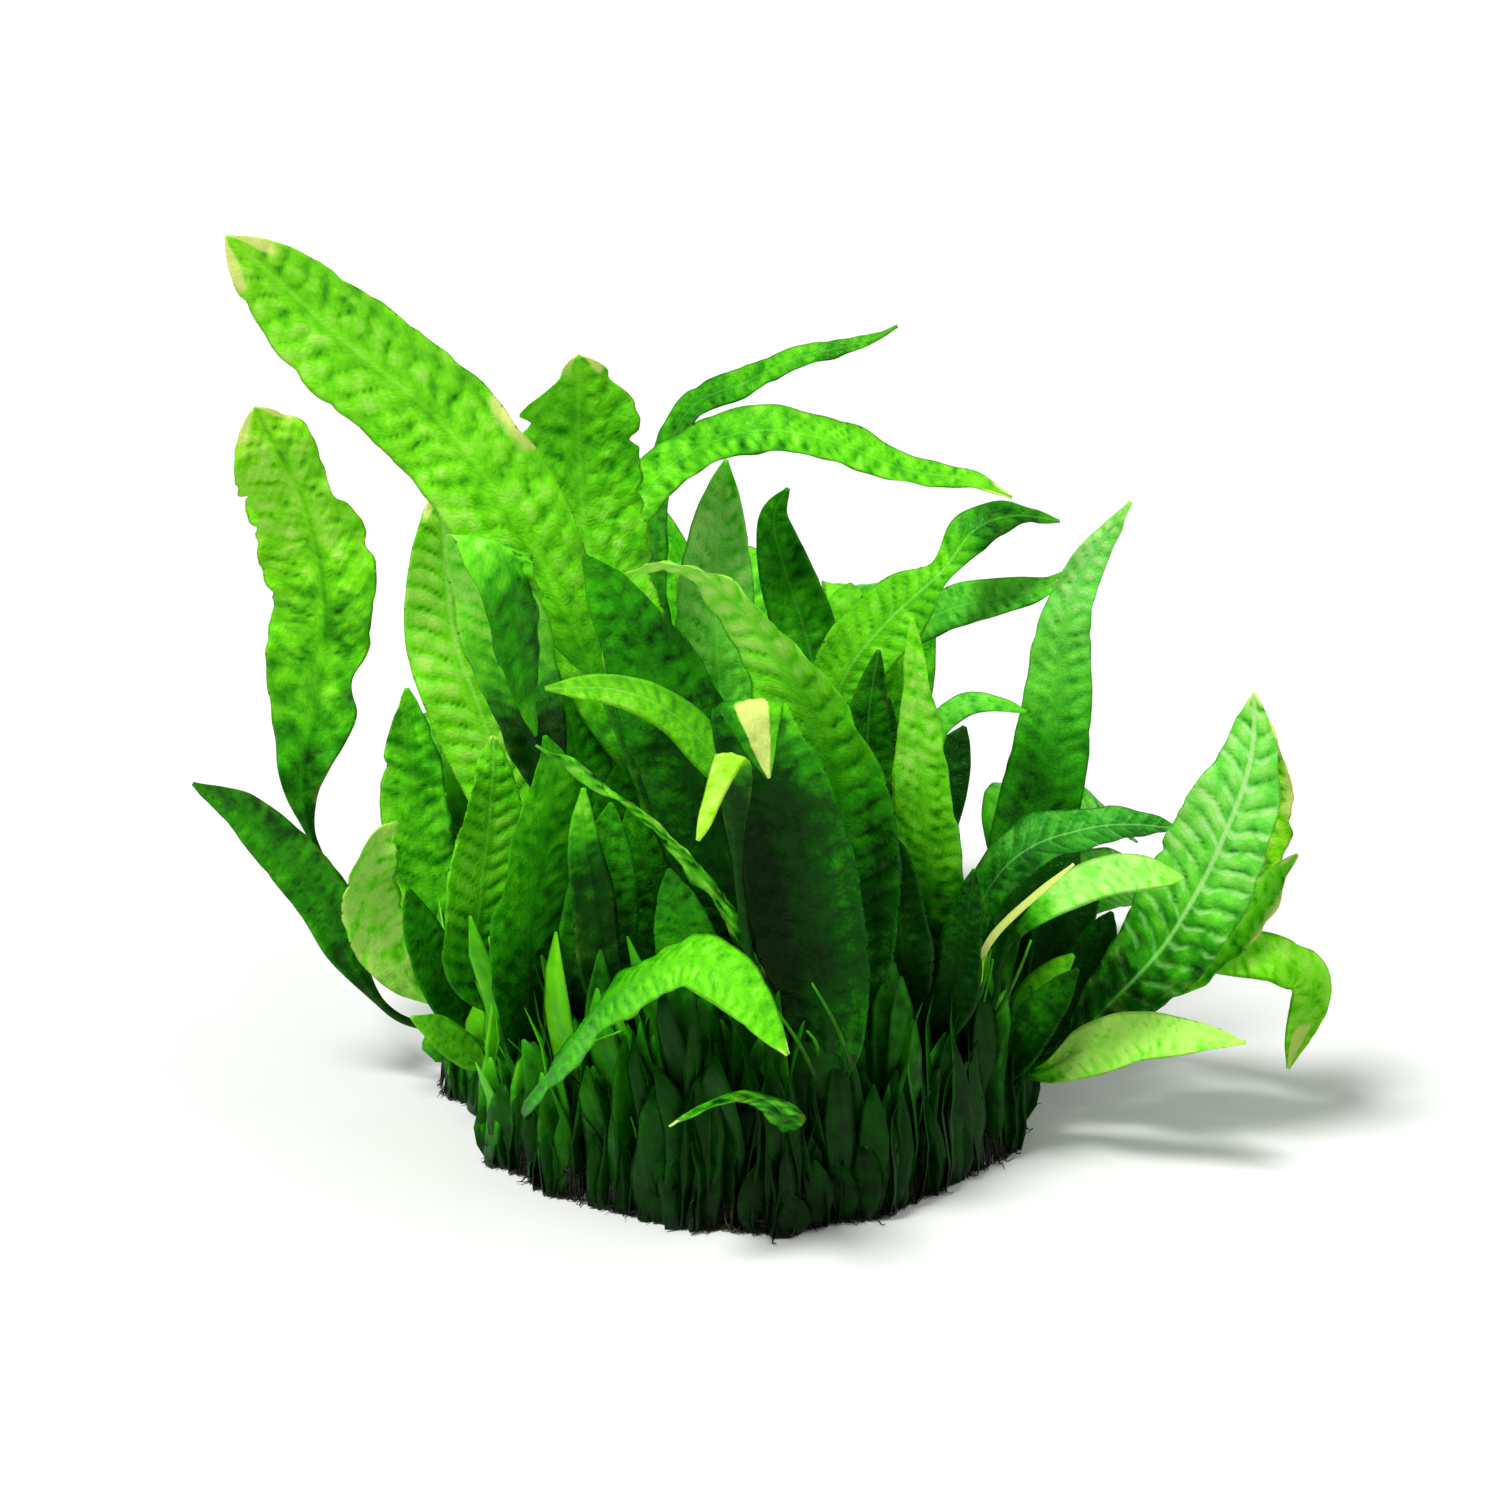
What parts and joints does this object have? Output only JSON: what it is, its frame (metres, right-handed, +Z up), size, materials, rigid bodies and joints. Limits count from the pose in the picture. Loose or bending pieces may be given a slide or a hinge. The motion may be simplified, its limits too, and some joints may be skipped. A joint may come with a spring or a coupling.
{
  "type": "java fern on mat",
  "caption": "Clump of java fern with lance-shaped leaves rising from creeping rhizomes on a flat rectangular mat of coconut fibre; an aquarium plant that stands on its mat.",
  "frame": {"origin": "middle of the mat's flat underside", "axes": "+Z up, away from the surface that the mat rests on; +X along the mat's short side, +Y along its long side"},
  "size_m": [0.2205, 0.2121, 0.1957],
  "materials": {
    "leaf": "satin",
    "rhizome": "matte",
    "roots": "matte",
    "mat": "matte"
  },
  "bodies": {
    "root": {"mat": "mat", "roots": "roots", "rhizome_left": "rhizome", "rhizome_middle": "rhizome", "rhizome_right": "rhizome", "rhizome_branch": "rhizome", "rhizome_back": "rhizome", "leaf_tall_left": "leaf", "leaf_top_notched": "leaf", "leaf_far_left": "leaf", "leaf_left_inner": "leaf", "leaf_drooping": "leaf", "leaf_arched_big": "leaf", "leaf_small_left": "leaf", "leaf_folded_tip": "leaf", "leaf_pale_tip": "leaf", "leaf_upright_right": "leaf", "leaf_right_tall": "leaf", "leaf_right_thin": "leaf", "leaf_bridge": "leaf", "leaf_right_arch": "leaf", "leaf_right_big": "leaf", "leaf_right_ragged": "leaf", "leaf_right_low": "leaf", "leaf_right_bottom": "leaf", "leaf_right_level": "leaf", "leaf_yellow_sliver": "leaf", "leaf_top_arch": "leaf", "leaf_mid_right": "leaf", "leaf_top_centre": "leaf", "leaf_top_hook": "leaf", "leaf_left_low": "leaf", "leaf_left_mottled": "leaf", "leaf_left_wavy": "leaf", "leaf_left_ribbed": "leaf", "leaf_front_broad": "leaf", "leaf_bright_tip": "leaf", "leaf_twisted": "leaf", "leaf_front_arch": "leaf", "leaf_front_thin": "leaf", "leaf_front_small": "leaf", "leaf_left_hook": "leaf", "leaf_dark_mid": "leaf", "leaf_mid_back": "leaf", "leaf_right_small": "leaf", "leaf_top_back": "leaf", "leaf_right_far": "leaf", "leaf_back_1": "leaf", "leaf_back_2": "leaf", "leaf_back_3": "leaf", "leaf_back_4": "leaf", "leaf_back_5": "leaf", "leaf_back_6": "leaf", "leaf_back_7": "leaf", "leaf_back_8": "leaf", "leaf_back_9": "leaf", "leaf_back_10": "leaf", "leaf_back_11": "leaf", "leaf_back_12": "leaf"}
  },
  "joints": []
}
